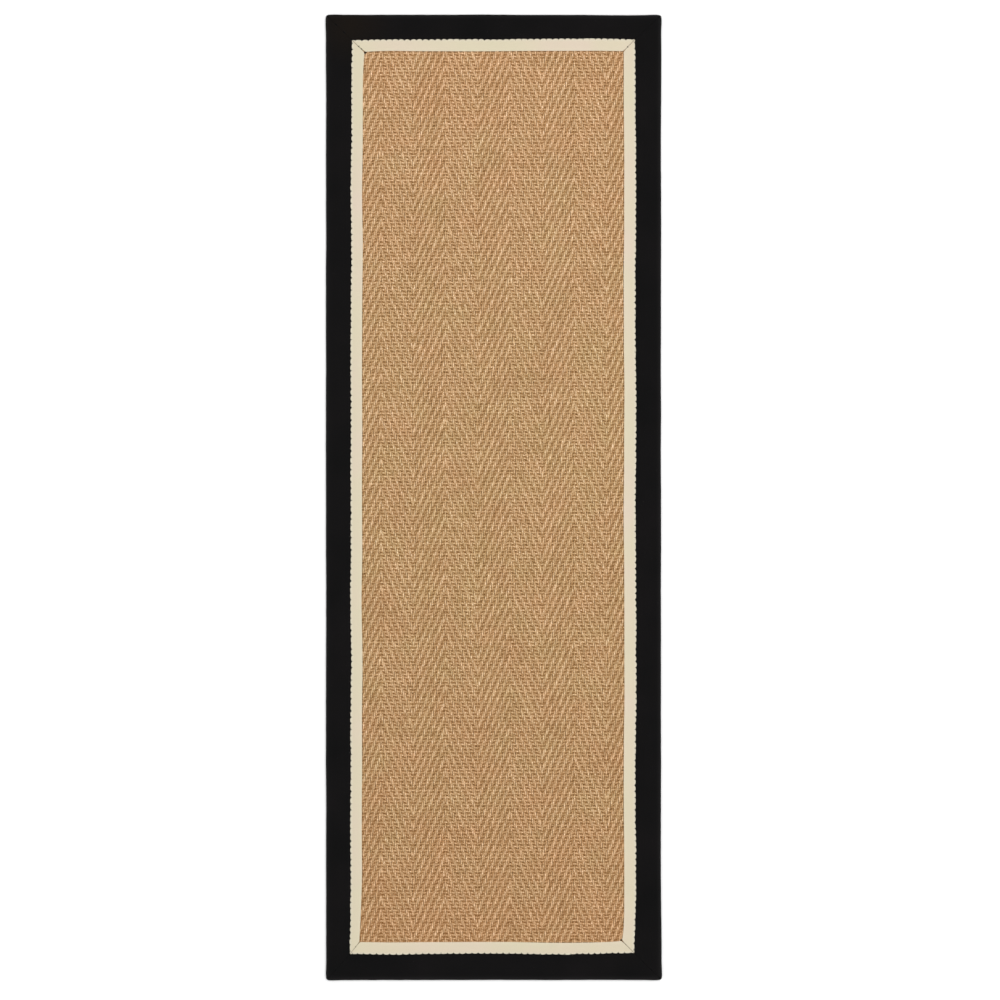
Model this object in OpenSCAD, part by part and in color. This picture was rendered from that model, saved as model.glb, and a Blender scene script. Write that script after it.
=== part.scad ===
// Runner rug: latex-backed sisal field, cream accent ribbon and a wide black binding.
// +Z is up and the underside lies on z = 0. The origin is the middle of the underside.
// X runs across the runner and Y along it.

/* [Overall size] */
// Width across the runner, edge to edge
rug_w = 686; // [500:2:1200]
// Length of the runner
rug_l = 1981; // [1200:1:4000]
// Corner radius seen from above
corner_r = 5; // [4:0.5:12]

/* [Sisal field] */
// Thickness of the woven sisal cloth
sisal_t = 4.6; // [3.6:0.1:8]
// Thickness of the latex backing under it
latex_t = 1.8; // [1.4:0.1:3]

/* [Binding tape] */
// Width of binding that shows on the face
binding_w = 51; // [38:1:80]
// Width of the flap folded under the rug
back_flap_w = 43; // [20:1:80]
// Thickness of the cotton tape
tape_t = 0.8; // [0.5:0.1:0.9]
// Thickness of the glue line under the back flap
glue_t = 0.2; // [0.1:0.05:0.3]
// Radius of the roll where the tape turns over the edge
roll_r = 2.4; // [1.6:0.1:2.6]

/* [Accent ribbon] */
// Width of ribbon that shows inside the binding
ribbon_w = 24; // [18:1:50]
// Thickness of the ribbon cloth
ribbon_t = 0.5; // [0.3:0.1:0.6]
// How far the ribbon runs on under the binding
ribbon_tuck = 8; // [6:1:12]
// Seam allowance turned under at the ribbon's inner edge
ribbon_hem = 6; // [4:0.5:8]
// Gap inside the ribbon's fold, where its seam thread lies
fold_gap = 0.4; // [0.3:0.05:0.6]

/* [Stitching] */
// Spacing of the whip stitches along the binding's inner edge
whip_pitch = 12.7; // [8:0.1:20]
// Spacing of the stitches that close the mitres
mitre_pitch = 6.35; // [4:0.05:10]
// Thread thickness of the whip stitches
whip_thread = 0.4; // [0.2:0.05:0.5]
// Width of one whip stitch along the seam
whip_bite_w = 1.1; // [0.6:0.1:2]
// Diameter of the finer thread in the seams and mitres
seam_thread_d = 0.3; // [0.2:0.05:0.4]

/* [Hidden] */
$fn = 48;
SIDES = ["right", "head", "left", "foot"];
CORNERS = ["head_right", "head_left", "foot_left", "foot_right"];

// Heights of the stack at the border, from the floor up
latex_z0 = tape_t + glue_t;
sisal_z0 = latex_t;
sisal_z1 = latex_t + sisal_t;
ribbon_fold_t = 2 * ribbon_t + fold_gap;
ribbon_z1 = sisal_z1 + ribbon_fold_t;
edge_h = sisal_z1 + tape_t;
binding_z1 = edge_h + ribbon_t;

// The field is cut just inside the tape's roll
core_w = rug_w - 2 * roll_r;
core_l = rug_l - 2 * roll_r;
core_corner_r = corner_r - roll_r;

// Distances in from the rug's edge
ribbon_out = binding_w - ribbon_tuck;
ribbon_in = binding_w + ribbon_w;
glue_margin = 3;

// Small clearances between neighbouring soft pieces
mitre_gap = 0.1;
ribbon_gap = 0.3;
thread_gap = 0.02;

// Plan slopes where a cloth steps up over the layer below it
tape_ramp = 2;
ribbon_ramp = 8;

// Whip stitch: reach over the tape, over the ribbon and the rise between them
whip_in_tape = 2.6;
whip_in_ribbon = 1.6;
whip_count_margin = 4;

// Stitches across the mitres
mitre_bite_l = 2.2;
mitre_first = 10;

// Turn about Z that brings a side or a corner from the right or the head right
function turn(i) = 90 * i;
// Half the rug across a side, and that side's length
function half_across(i) = (i % 2 == 0 ? rug_w : rug_l) / 2;
function run(i) = i % 2 == 0 ? rug_l : rug_w;
// Height of the ribbon's upper surface, u in from the rug's edge
function ribbon_top(u) =
    let (start = ribbon_in - ribbon_hem - ribbon_ramp)
    let (share = min(max((u - start) / ribbon_ramp, 0), 1))
    sisal_z1 + ribbon_t + share * (ribbon_fold_t - ribbon_t);

// A plate with round corners, centred on the origin
module round_plate(w, l, r, h) {
    linear_extrude(h) {
        square([w - 2 * r, l], center = true);
        square([w, l - 2 * r], center = true);
        for (x = [-1, 1], y = [-1, 1])
            translate([x * (w / 2 - r), y * (l / 2 - r)])
                circle(r);
    }
}

// Runs a section along side i. In the section, x is the distance in from the
// rug's edge and y is the height.
module along_side(i) {
    rotate([0, 0, turn(i)])
        translate([half_across(i), 0, 0])
            mirror([1, 0, 0])
                rotate([90, 0, 0])
                    linear_extrude(run(i), center = true)
                        children();
}

// Plan of side i's strip out to a depth, with both ends cut at 45 degrees
module mitred_strip(i, depth, h) {
    end = run(i) / 2 - mitre_gap;
    rotate([0, 0, turn(i)])
        translate([half_across(i), 0, -1])
            mirror([1, 0, 0])
                linear_extrude(h + 2)
                    polygon([[0, -end], [depth, depth - end], [depth, end - depth], [0, end]]);
}

// A bar in section with its outer end rounded at both edges
module rolled_bar(x0, x1, z0, z1, r) {
    translate([x0 + r, z0])
        square([x1 - x0 - r, z1 - z0]);
    translate([x0, z0 + r])
        square([r + r, z1 - z0 - 2 * r]);
    for (z = [z0 + r, z1 - r])
        translate([x0 + r, z])
            circle(r);
}

// Where the tape climbs onto the ribbon, as a step of one ribbon's thickness
module tape_step(z) {
    polygon([
        [ribbon_out - 1 - tape_ramp, z], [ribbon_out - 1, z + ribbon_t],
        [binding_w + 1, z + ribbon_t], [binding_w + 1, z - ribbon_t],
        [ribbon_out - 1 - tape_ramp, z - ribbon_t]
    ]);
}

// The binding tape: flap under the rug, roll round the edge, flap on the face
module tape_section() {
    intersection() {
        translate([0, -1])
            square([binding_w, binding_z1 + 2]);
        difference() {
            union() {
                rolled_bar(0, binding_w + 1, 0, edge_h, roll_r);
                tape_step(edge_h);
            }
            rolled_bar(tape_t, binding_w + 2, tape_t, sisal_z1, roll_r - tape_t);
            translate([1, 0])
                tape_step(sisal_z1);
            translate([back_flap_w, -1])
                square([binding_w, latex_z0 + 1]);
        }
    }
}

// The ribbon: a flat leaf under the binding, a rise, and a fold at the inner edge
module ribbon_section() {
    fold_r = ribbon_fold_t / 2;
    fold_x = ribbon_in - fold_r;
    rise_x = ribbon_in - ribbon_hem - ribbon_ramp;
    hem_x = ribbon_in - ribbon_hem;
    low = sisal_z1;
    high = ribbon_z1 - ribbon_t;
    polygon([
        [ribbon_out, low], [rise_x, low], [hem_x, high], [fold_x, high],
        [fold_x, ribbon_z1], [hem_x, ribbon_z1], [rise_x, low + ribbon_t], [ribbon_out, low + ribbon_t]
    ]);
    translate([hem_x + 0.5, low])
        square([fold_x - hem_x - 0.5, ribbon_t]);
    intersection() {
        translate([fold_x, low])
            square([fold_r, ribbon_fold_t]);
        translate([fold_x, low + fold_r])
            difference() {
                circle(fold_r);
                circle(fold_r - ribbon_t);
            }
    }
}

// One whip stitch in section: over the tape's edge and down into the ribbon
module whip_section() {
    tape_x = binding_w - whip_in_tape;
    edge_x = binding_w + thread_gap;
    tape_z = binding_z1 + thread_gap;
    ribbon_z = sisal_z1 + ribbon_t + thread_gap;
    polygon([
        [tape_x, tape_z], [edge_x, tape_z], [edge_x, ribbon_z],
        [binding_w + whip_in_ribbon, ribbon_z],
        [binding_w + whip_in_ribbon, ribbon_z + whip_thread],
        [edge_x + whip_thread, tape_z + whip_thread / 2],
        [edge_x, tape_z + whip_thread], [tape_x, tape_z + whip_thread]
    ]);
}

module sisal_cloth() {
    color([0.73, 0.58, 0.41])
        translate([0, 0, sisal_z0])
            round_plate(core_w, core_l, core_corner_r, sisal_t);
}

// The latex lies on the floor in the field and is pressed thinner over the back flaps
module latex_backing() {
    color([0.82, 0.78, 0.68]) {
        translate([0, 0, latex_z0])
            round_plate(core_w, core_l, core_corner_r, latex_t - latex_z0);
        field_w = rug_w - 2 * (back_flap_w + 1);
        field_l = rug_l - 2 * (back_flap_w + 1);
        translate([-field_w / 2, -field_l / 2, 0])
            cube([field_w, field_l, latex_t]);
    }
}

module binding(i) {
    color([0.09, 0.086, 0.094])
        intersection() {
            along_side(i)
                tape_section();
            mitred_strip(i, binding_w + 1, binding_z1);
            round_plate(rug_w, rug_l, corner_r, binding_z1 + 1);
        }
}

module accent_ribbon(i) {
    color([0.88, 0.84, 0.74])
        intersection() {
            along_side(i)
                ribbon_section();
            mitred_strip(i, ribbon_in + 1, ribbon_z1);
        }
}

// Black whip stitches that hold the tape's inner edge down on the ribbon
module binding_stitches(i) {
    seam_l = run(i) - 2 * binding_w - 2 * whip_count_margin;
    gaps = floor(seam_l / whip_pitch);
    color([0.05, 0.05, 0.055])
        rotate([0, 0, turn(i)])
            for (k = [0:gaps])
                translate([half_across(i), (k - gaps / 2) * whip_pitch, 0])
                    mirror([1, 0, 0])
                        rotate([90, 0, 0])
                            linear_extrude(whip_bite_w, center = true)
                                whip_section();
}

// The thread that sews the ribbon down, hidden inside the ribbon's fold
module ribbon_seam_thread(i) {
    seam_l = run(i) - 2 * ribbon_in;
    seam_x = half_across(i) - ribbon_in + ribbon_hem / 2;
    color([0.85, 0.81, 0.7])
        rotate([0, 0, turn(i)])
            translate([seam_x, 0, sisal_z1 + ribbon_fold_t / 2])
                rotate([90, 0, 0])
                    cylinder(h = seam_l, d = seam_thread_d, center = true);
}

// The glue line between a back flap and the latex
module flap_glue(i) {
    width = back_flap_w - roll_r - 2 * glue_margin;
    color([0.9, 0.87, 0.75])
        intersection() {
            rotate([0, 0, turn(i)])
                translate([half_across(i) - roll_r - glue_margin - width, -run(i) / 2, tape_t])
                    cube([width, run(i), glue_t]);
            mitred_strip(i, back_flap_w + 1, latex_z0);
        }
}

// One stitch laid square across corner i's mitre, u in from both edges
module mitre_bite(i, u, z) {
    mirrored = i % 2 == 0 ? 1 : -1;
    sx = i == 0 || i == 3 ? 1 : -1;
    sy = i < 2 ? 1 : -1;
    translate([sx * (rug_w / 2 - u), sy * (rug_l / 2 - u), z + seam_thread_d / 2 + 5 * thread_gap])
        rotate([0, 0, -45 * mirrored])
            rotate([0, 90, 0])
                cylinder(h = mitre_bite_l, d = seam_thread_d, center = true);
}

module binding_mitre_stitches(i) {
    color([0.05, 0.05, 0.055])
        for (u = [mitre_first:mitre_pitch:ribbon_out - 1 - tape_ramp - mitre_bite_l])
            mitre_bite(i, u, edge_h);
}

module ribbon_mitre_stitches(i) {
    first = binding_w + mitre_pitch / 2;
    color([0.25, 0.22, 0.18])
        for (u = [first:mitre_pitch:ribbon_in - mitre_bite_l / 2])
            mitre_bite(i, u, ribbon_top(u + mitre_bite_l / 2));
}

sisal_cloth();
latex_backing();
for (i = [0:3]) {
    binding(i);
    accent_ribbon(i);
    binding_stitches(i);
    ribbon_seam_thread(i);
    flap_glue(i);
    binding_mitre_stitches(i);
    ribbon_mitre_stitches(i);
}
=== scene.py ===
"""Runner rug: the visual model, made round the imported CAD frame.

All lengths are metres in the row's frame: X across the runner, Y along it, +Z up, floor at z = 0.
The sisal field is woven from separate yarns, and each border strip is a folded, mitred cloth.
Round each edge, u is the distance in from the rug's rim and s the distance along that side.
"""
import math

import bpy
import numpy as np
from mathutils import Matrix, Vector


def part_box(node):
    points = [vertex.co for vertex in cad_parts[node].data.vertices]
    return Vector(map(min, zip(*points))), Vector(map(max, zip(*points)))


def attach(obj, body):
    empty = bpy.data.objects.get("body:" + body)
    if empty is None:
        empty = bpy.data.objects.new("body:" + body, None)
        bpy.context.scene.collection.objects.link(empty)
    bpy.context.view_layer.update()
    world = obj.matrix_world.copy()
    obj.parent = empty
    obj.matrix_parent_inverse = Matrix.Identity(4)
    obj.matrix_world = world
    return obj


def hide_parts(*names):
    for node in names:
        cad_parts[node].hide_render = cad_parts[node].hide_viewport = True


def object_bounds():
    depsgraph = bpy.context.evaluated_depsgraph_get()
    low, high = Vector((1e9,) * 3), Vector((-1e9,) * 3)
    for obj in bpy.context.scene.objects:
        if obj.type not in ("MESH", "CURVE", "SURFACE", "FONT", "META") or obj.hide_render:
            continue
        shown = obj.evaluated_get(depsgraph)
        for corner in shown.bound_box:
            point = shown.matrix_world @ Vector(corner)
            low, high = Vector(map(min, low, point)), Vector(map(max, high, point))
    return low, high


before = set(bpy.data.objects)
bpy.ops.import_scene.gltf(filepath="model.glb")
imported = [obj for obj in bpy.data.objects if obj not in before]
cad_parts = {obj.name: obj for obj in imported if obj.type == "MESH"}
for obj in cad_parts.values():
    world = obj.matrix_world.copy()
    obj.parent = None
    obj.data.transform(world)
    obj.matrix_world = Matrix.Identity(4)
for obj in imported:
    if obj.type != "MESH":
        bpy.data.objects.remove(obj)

cad_low, cad_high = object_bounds()
MM = 0.001
rng = np.random.default_rng(27)

# ---- sizes read from the frame

SIDES = ("right", "head", "left", "foot")
CORNERS = ("head_right", "head_left", "foot_left", "foot_right")  # where each of the SIDES ends
CORNER_SIGNS = ((1, 1), (-1, 1), (-1, -1), (1, -1))  # of x and y there
HALF_W, HALF_L = cad_high.x, cad_high.y
CLOTH_LOW, CLOTH_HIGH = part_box("sisal_cloth")
RIBBON_LOW, RIBBON_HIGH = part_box("accent_ribbon_right")
TAPE_LOW, TAPE_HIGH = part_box("binding_right")
GLUE_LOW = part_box("flap_glue_right")[0]
LATEX_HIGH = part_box("latex_backing")[1]

RIBBON_IN = HALF_W - RIBBON_LOW.x  # u of the ribbon's inner fold
RIBBON_OUT = HALF_W - RIBBON_HIGH.x  # u of its hidden outer edge
TAPE_IN = HALF_W - TAPE_LOW.x  # u of the binding's stitched edge
SISAL_Z0, SISAL_Z1 = CLOTH_LOW.z, CLOTH_HIGH.z
TAPE_Z1 = TAPE_HIGH.z
TAPE_T = GLUE_LOW.z  # the glue lies on the back flap
GLUE_MARGIN = 3 * MM
FLAP_W = HALF_W - GLUE_LOW.x + GLUE_MARGIN  # u of the back flap's edge
CORE_IN = HALF_W - CLOTH_HIGH.x  # u of the sisal's cut edge

# ---- the weave

WARP_PITCH = 3.307 * MM
WEFT_PITCH = 7.24 * MM
STRIPE_WARPS = 20  # warps between two turns of the herringbone
TWILL = 4  # over two wefts, under two
WEFT_SKEW = 0.0034  # the wefts climb a little from left to right
TUCK, TUCK_DOWN = 10 * MM, 0.3 * MM  # how far the field goes under the ribbon, and is pressed down
WARP_RINGS, WEFT_RINGS = 3, 2  # rings of mesh along a yarn, for each yarn that it crosses
YARN_SIDES = 6
YARN_END = 0.4  # how far a yarn runs past its last crossing, in crossings
WARP_HALF_W, WARP_HALF_H = 1.55 * MM, 0.88 * MM
WEFT_HALF_W, WEFT_HALF_H = 1.95 * MM, 1.0 * MM
FLOAT_SPREAD = 0.12  # the share by which a warp is wider on top of the cloth
WARP_CRIMP, WEFT_CRIMP = 1.38 * MM, 0.90 * MM  # how far a taut yarn goes up and down
WARP_REACH, WEFT_REACH = 0.92, 0.94  # the share of that which it reaches on average
CRIMP_SHARPNESS = 1.3  # the higher, the flatter the floats
WEFT_NESTING = 0.12  # wefts rise this share less where the twill climbs to the right
WARP_LEAN = 0.10 * MM  # how far a warp float leans away from the twill's diagonal
WEFT_TILT = 0.38 * MM  # how far a weft float tilts towards it
BRIGHT_TONE = 0.12  # how much lighter than plain a thread is before it is held back
YARN_TONE = 0.03  # how much lighter or darker than plain a whole yarn is
CLIMB_LIGHT = 0.02  # painted light: how much lighter warps are where the twill climbs to the right, as the light falls across those stripes
WEFT_TONE = -0.09  # how much darker wefts are than warps
WEFT_END_SHADE = 0.09  # painted shade: how much darker still a weft is at the ends of its floats, where it dives under the warps
NESTED_SHADE = 0.055  # painted shade: how much darker still a weft is where the twill climbs to the right, as the light falls across those stripes
WEAVE_Z = (SISAL_Z0 + SISAL_Z1) / 2
WEFTS_PER_PIECE = 43

# Uneven yarns: layers of smooth noise, each (how much, over how many crossings).
WARP_NOISE = {"reach": ((0.12, 2.1),), "waver": ((0.25 * MM, 9.0), (0.25 * MM, 1.7)),
              "thickness": ((0.10, 2.2),), "tone": ((0.03, 14.0), (0.06, 1.9), (0.12, 0.6))}
WEFT_NOISE = {"reach": ((0.08, 5.0),), "waver": ((0.30 * MM, 30.0), (0.25 * MM, 4.0)),
              "thickness": ((0.10, 5.0),), "tone": ((0.04, 24.0), (0.04, 4.0), (0.10, 1.0))}

# ---- the border cloths

RIBBON_T = 0.5 * MM
TAPE_RING = 2.1 * MM  # mesh spacing along a strip
# How far from its end a strip's first rings of mesh are.
MITRE_RINGS = np.array([0, 0.63, 1.26, 1.98, 2.88, 4.14, 5.76, 7.74, 10.08, 12.96]) * MM
MITRE_ZONE = 90 * MM  # the length over which rings lean into the mitre
CORNER_R = 5 * MM
WHIP_PITCH = 12.7 * MM
MITRE_PITCH = 6.35 * MM

# The binding. Each whip stitch pulls its edge in over the ribbon and dents it. REACH is how far from
# the edge or the rim a wave is felt.
TOOTH, TOOTH_HALF_W = 1.5 * MM, 2.1 * MM
TOOTH_UNEVEN = 0.75  # the share by which one stitch pulls more than another
EDGE_BACK = 0.5 * MM  # how far the edge lies back between two stitches
EDGE_WAVE, EDGE_RIPPLE, EDGE_REACH = 0.5 * MM, 0.25 * MM, 7 * MM
DENT, DENT_HALF_W = 0.30 * MM, 2.6 * MM
RIM_WAVE, RIM_RIPPLE, RIM_REACH = 0.35 * MM, 0.12 * MM, 12 * MM
EAR, EAR_AT, EAR_HALF_W = 0.65 * MM, 14 * MM, 13 * MM  # the rim stands out beside each corner
PAD, PAD_WAVE, PAD_REACH = 0.25 * MM, 0.15 * MM, 12 * MM  # the middle of the face stands up
TAPE_DIP, TAPE_DIP_HALF_W = 0.15 * MM, 0.8 * MM  # how the face dips into a mitre

# The ribbon. Its fold wavers, draws back at an open mitre, and its cloth puckers at the stitches.
FOLD_WAVE, FOLD_RIPPLE = 0.22 * MM, 0.08 * MM
FOLD_FROM = 12 * MM  # how far from the binding the waver starts
NOTCH, NOTCH_HALF_W, NOTCH_REACH = 1.2 * MM, 2.2 * MM, 5 * MM
SWELL = 0.10 * MM  # how far its cloth lifts and sags past FOLD_FROM
PUCKER, PUCKER_REACH = 0.22 * MM, 3.5 * MM
STITCH_PRESS, STITCH_PRESS_HALF_W = 0.20 * MM, 2.2 * MM
RIBBON_DIP, RIBBON_DIP_HALF_W = 0.45 * MM, 0.6 * MM  # how the cloth dips into a mitre

# Threads. A strand is flattened: half its width, half its height.
WHIP_STRAND = (0.25 * MM, 0.21 * MM)
WHIP_APART = 0.26 * MM  # from a stitch's middle to each of its two strands
MITRE_STRAND = 0.16 * MM  # radius
MITRE_REACH = 1.1  # half the length of a mitre stitch, in millimetres
KNOT_REACH = 0.27  # the same for a knot, for each thread of its thickness
KNOT_HEIGHT = 0.5 * MM  # above the sisal, for a knot that lies past the fold
# Heights above the cloth along a mitre stitch.
MITRE_ARC = np.array([-0.45, -0.02, 0.10, 0.12, 0.10, -0.02, -0.45]) * MM

# How far in from true each line of the border runs, in millimetres, going round the rug from the
# foot of the right side: (rim, seam, fold), each at the start of its side, once it has straightened,
# where it begins to turn again, and at its end.
HAND_LAID = {
    "right": ((-2.0, -0.5, -0.5, -1.1), (3.4, 0.5, 0.5, 2.2), (0.9, 0.4, 0.6, 1.4)),
    "head": ((0.2, -0.6, -0.7, -0.3), (-0.6, -1.0, -1.0, 1.0), (-0.4, -0.5, -0.5, -0.3)),
    "left": ((-1.5, -1.2, -1.2, -0.9), (1.2, 0.0, -1.8, -3.0), (0.6, -1.0, -2.8, -7.7)),
    "foot": ((-0.3, -0.2, -0.2, 0.0), (2.6, 2.9, 2.6, 4.6), (3.0, 3.2, 2.4, 2.6)),
}
BEND_LENGTH = 230 * MM  # how far from the rug's corners the lines start to turn
BEND_EASE = 1.25
DRIFT_FADE = 120 * MM  # how far past the fold its drift has died out
LAID_WAVE, LAID_WAVE_STEP = 1.1 * MM, 120 * MM  # the slow waver of seam and fold
TURN_IN = {"right": (4.0, 0.0), "head": (0.0, 1.6), "left": (2.4, 0.0), "foot": (0.0, 3.4)}
TURN_LENGTH = 22 * MM  # the fold turns in by TURN_IN mm over about this length
# How wide each ribbon mitre has opened at its inner end, in the order of CORNERS.
MITRE_OPEN = (1.0, 1.5, 0.8, 1.3)
# Stitches of the ribbon's mitres that end in knots, counted from the binding: how far each lies from
# the binding's edge, in millimetres, and how many threads thick it is.
KNOTS = {"head_left": {1: (12.6, 5), 2: (18.0, 5), 3: (25.9, 10)}, "head_right": {2: (15.3, 5)},
         "foot_left": {2: (14.4, 4)}, "foot_right": {3: (25.4, 6)}}


def rise(value, length):
    """0 up to value 0, then evenly up to 1 where value is length, and 1 after that."""
    return np.clip(value / length, 0, 1)


def hill(value, half_width):
    """1 where value is 0, falling away to both sides."""
    return np.exp(-(value / half_width) ** 2)


def smooth_noise(count, positions, step):
    """count rows of smooth random values from -1 to 1 at the positions, with a new value every step."""
    start = positions.min()
    share = (positions - start) / step
    index = np.floor(share).astype(int)
    knots = rng.uniform(-1, 1, (count, index.max() + 2))
    blend = (1 - np.cos(np.pi * (share - index))) / 2
    return knots[:, index] * (1 - blend) + knots[:, index + 1] * blend


def layered_noise(count, positions, layers):
    """count rows of smooth noises added up. Each layer is (how much, its step)."""
    return sum(amount * smooth_noise(count, positions, step) for amount, step in layers)


def table_noise(step, length):
    """One smooth random curve along a strip, as a function of s."""
    knots = np.arange(-length / 2 - step, length / 2 + 2 * step, step)
    heights = rng.uniform(-1, 1, len(knots))

    def at(s):
        share = (s - knots[0]) / step
        index = np.clip(np.floor(share).astype(int), 0, len(knots) - 2)
        blend = (1 - np.cos(np.pi * np.clip(share - index, 0, 1))) / 2
        return heights[index] * (1 - blend) + heights[index + 1] * blend
    return at


# ---- meshes

def link(thing):
    bpy.context.scene.collection.objects.link(thing)


def make_piece(name, points, quads, material, attributes=None, uv=None):
    """A mesh object of quads, riding on the rug. attributes are named values for each point."""
    mesh = bpy.data.meshes.new(name)
    mesh.vertices.add(len(points))
    mesh.vertices.foreach_set("co", np.ascontiguousarray(points, np.float32).ravel())
    mesh.loops.add(quads.size)
    mesh.loops.foreach_set("vertex_index", np.ascontiguousarray(quads, np.int32).ravel())
    mesh.polygons.add(len(quads))
    mesh.polygons.foreach_set("loop_start", np.arange(0, quads.size, 4, dtype=np.int32))
    mesh.update(calc_edges=True)
    mesh.polygons.foreach_set("use_smooth", np.ones(len(quads), bool))
    for label, values in (attributes or {}).items():
        mesh.attributes.new(label, "FLOAT", "POINT").data.foreach_set("value", values.ravel())
    if uv is not None:
        mesh.uv_layers.new(name="cloth").data.foreach_set("uv", uv.ravel())
    mesh.validate()
    mesh.materials.append(material)
    piece = bpy.data.objects.new(name, mesh)
    link(piece)
    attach(piece, "root")
    return piece


def grid_quads(rows, columns, closed):
    """Quads of a grid of points, row by row. A closed grid joins its last column to its first."""
    row = np.arange(rows - 1)[:, None]
    column = np.arange(columns if closed else columns - 1)[None, :]
    ahead = (column + 1) % columns
    corners = (row * columns + column, row * columns + ahead,
               (row + 1) * columns + ahead, (row + 1) * columns + column)
    return np.stack([np.broadcast_to(c, corners[0].shape) for c in corners], -1).reshape(-1, 4)


def tube_quads(rings, sides):
    """Quads of one capped tube with an even number of sides."""
    wall = grid_quads(rings, sides, closed=True)[:, ::-1]
    fan = np.array([(0, i, i + 1, i + 2) for i in range(1, sides - 2, 2)])
    return np.concatenate([wall, fan, (rings - 1) * sides + fan[:, ::-1]])


def tube_uv(along, rings, sides):
    """Cloth map of the tubes: once round across, and the distance along each in metres."""
    tubes = len(along)
    around = np.arange(sides) / sides
    uv = np.empty((tubes, rings - 1, sides, 4, 2), np.float32)
    for corner, (ring, side) in enumerate(((1, 0), (1, 1), (0, 1), (0, 0))):
        uv[..., corner, 0] = (around + side / sides)[None, None, :]
        uv[..., corner, 1] = along[:, ring:rings - 1 + ring, None]
    caps = np.zeros((tubes, (sides - 2) // 2 * 2 * 4, 2), np.float32)
    return np.concatenate([uv.reshape(tubes, -1, 2), caps], 1)


def tubes(name, centres, across, half_w, half_h, sides, material, slot, values=None):
    """Tubes along centres (tube, ring, xyz), flattened: half_w along across, half_h square to it."""
    count, rings = centres.shape[:2]
    tangent = np.gradient(centres, axis=1)
    tangent /= np.linalg.norm(tangent, axis=2, keepdims=True)
    across = np.broadcast_to(across, centres.shape)
    normal = np.cross(across, tangent)
    normal /= np.linalg.norm(normal, axis=2, keepdims=True)
    angle = 2 * np.pi * np.arange(sides) / sides
    half_w = np.broadcast_to(half_w, (count, rings))[..., None, None]
    half_h = np.broadcast_to(half_h, (count, rings))[..., None, None]
    points = (centres[:, :, None]
              + half_w * np.cos(angle)[:, None] * across[:, :, None]
              + half_h * np.sin(angle)[:, None] * normal[:, :, None])
    quads = tube_quads(rings, sides)
    shifts = np.arange(count)[:, None, None] * (rings * sides)
    along = np.cumsum(np.linalg.norm(np.diff(centres, axis=1, prepend=centres[:, :1]), axis=2), axis=1)
    attributes = {label: np.repeat(v, sides, axis=1).astype(np.float32)
                  for label, v in (values or {}).items()}
    return make_piece(name, points.reshape(-1, 3), (quads[None] + shifts).reshape(-1, 4), material,
                      attributes, tube_uv(along, rings, sides))


# ---- materials

class Nodes:
    """A short way to write a material's node tree."""

    def __init__(self, name):
        self.material = bpy.data.materials.new(name)
        self.material.use_nodes = True
        self.tree = self.material.node_tree
        self.shader = self.tree.nodes["Principled BSDF"]

    def put(self, socket, value):
        if isinstance(value, bpy.types.NodeSocket):
            self.tree.links.new(value, socket)
        else:
            socket.default_value = value

    def add(self, kind, inputs=(), **settings):
        node = self.tree.nodes.new("ShaderNode" + kind)
        for key, value in settings.items():
            setattr(node, key, value)
        for key, value in dict(inputs).items():
            self.put(node.inputs[key], value)
        return node

    def math(self, operation, a, b=0.0):
        return self.add("Math", {0: a, 1: b}, operation=operation).outputs[0]

    def plus(self, a, b):
        return self.math("ADD", a, b)

    def times(self, a, b):
        return self.math("MULTIPLY", a, b)

    def power(self, a, b):
        return self.math("POWER", a, b)

    def attribute(self, name):
        return self.add("Attribute", attribute_name=name).outputs["Fac"]

    def cloth_map(self):
        """The two directions of the cloth map: across or round, and along."""
        split = self.add("SeparateXYZ", {0: self.add("UVMap", uv_map="cloth").outputs[0]})
        return split.outputs[0], split.outputs[1]

    def position(self):
        return self.add("TexCoord").outputs["Object"]

    def combine(self, x, y, z):
        return self.add("CombineXYZ", {0: x, 1: y, 2: z}).outputs[0]

    def noise(self, vector, scale, detail=3.0, roughness=0.5):
        return self.add("TexNoise", {"Vector": vector, "Scale": scale, "Detail": detail,
                                     "Roughness": roughness}).outputs["Fac"]

    def ramp(self, factor, *stops):
        """A colour ramp. Each stop is (place, colour), with a colour of three numbers."""
        node = self.add("ValToRGB", {0: factor})
        while len(node.color_ramp.elements) < len(stops):
            node.color_ramp.elements.new(0.5)
        for element, (place, colour) in zip(node.color_ramp.elements, stops):
            element.position = place
            element.color = (*colour, 1)
        return node.outputs["Color"]

    def fit(self, value, low, high, out_low=0.0, out_high=1.0):
        return self.add("MapRange", {"Value": value, "From Min": low, "From Max": high,
                                     "To Min": out_low, "To Max": out_high}).outputs[0]

    def mix(self, factor, a, b, blend="MIX"):
        node = self.add("Mix", data_type="RGBA", blend_type=blend, clamp_factor=True)
        for socket, value in zip((node.inputs[0], node.inputs[6], node.inputs[7]), (factor, a, b)):
            self.put(socket, value if isinstance(value, (float, bpy.types.NodeSocket)) else (*value, 1))
        return node.outputs[2]

    def shade(self, colour, factor):
        """The colour times a number."""
        return self.add("VectorMath", {0: colour, "Scale": factor}, operation="SCALE").outputs[0]

    def wave(self, value, period):
        """0 to 1 and back along value, once a period."""
        turned = self.times(value, 2 * math.pi / period)
        return self.add("Math", {0: self.math("SINE", turned), 1: 0.5, 2: 0.5},
                        operation="MULTIPLY_ADD").outputs[0]

    def finish(self, colour, height=None, relief=0.0, roughness=0.9, specular=0.2):
        """Sets the surface; height times relief is its bump, in metres."""
        for label, value in (("Base Color", colour), ("Roughness", roughness),
                             ("Specular IOR Level", specular)):
            self.put(self.shader.inputs[label], value)
        if height is not None:
            bump = self.add("Bump", {"Height": height, "Distance": relief, "Strength": 1.0})
            self.put(self.shader.inputs["Normal"], bump.outputs[0])
        return self.material


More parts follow.
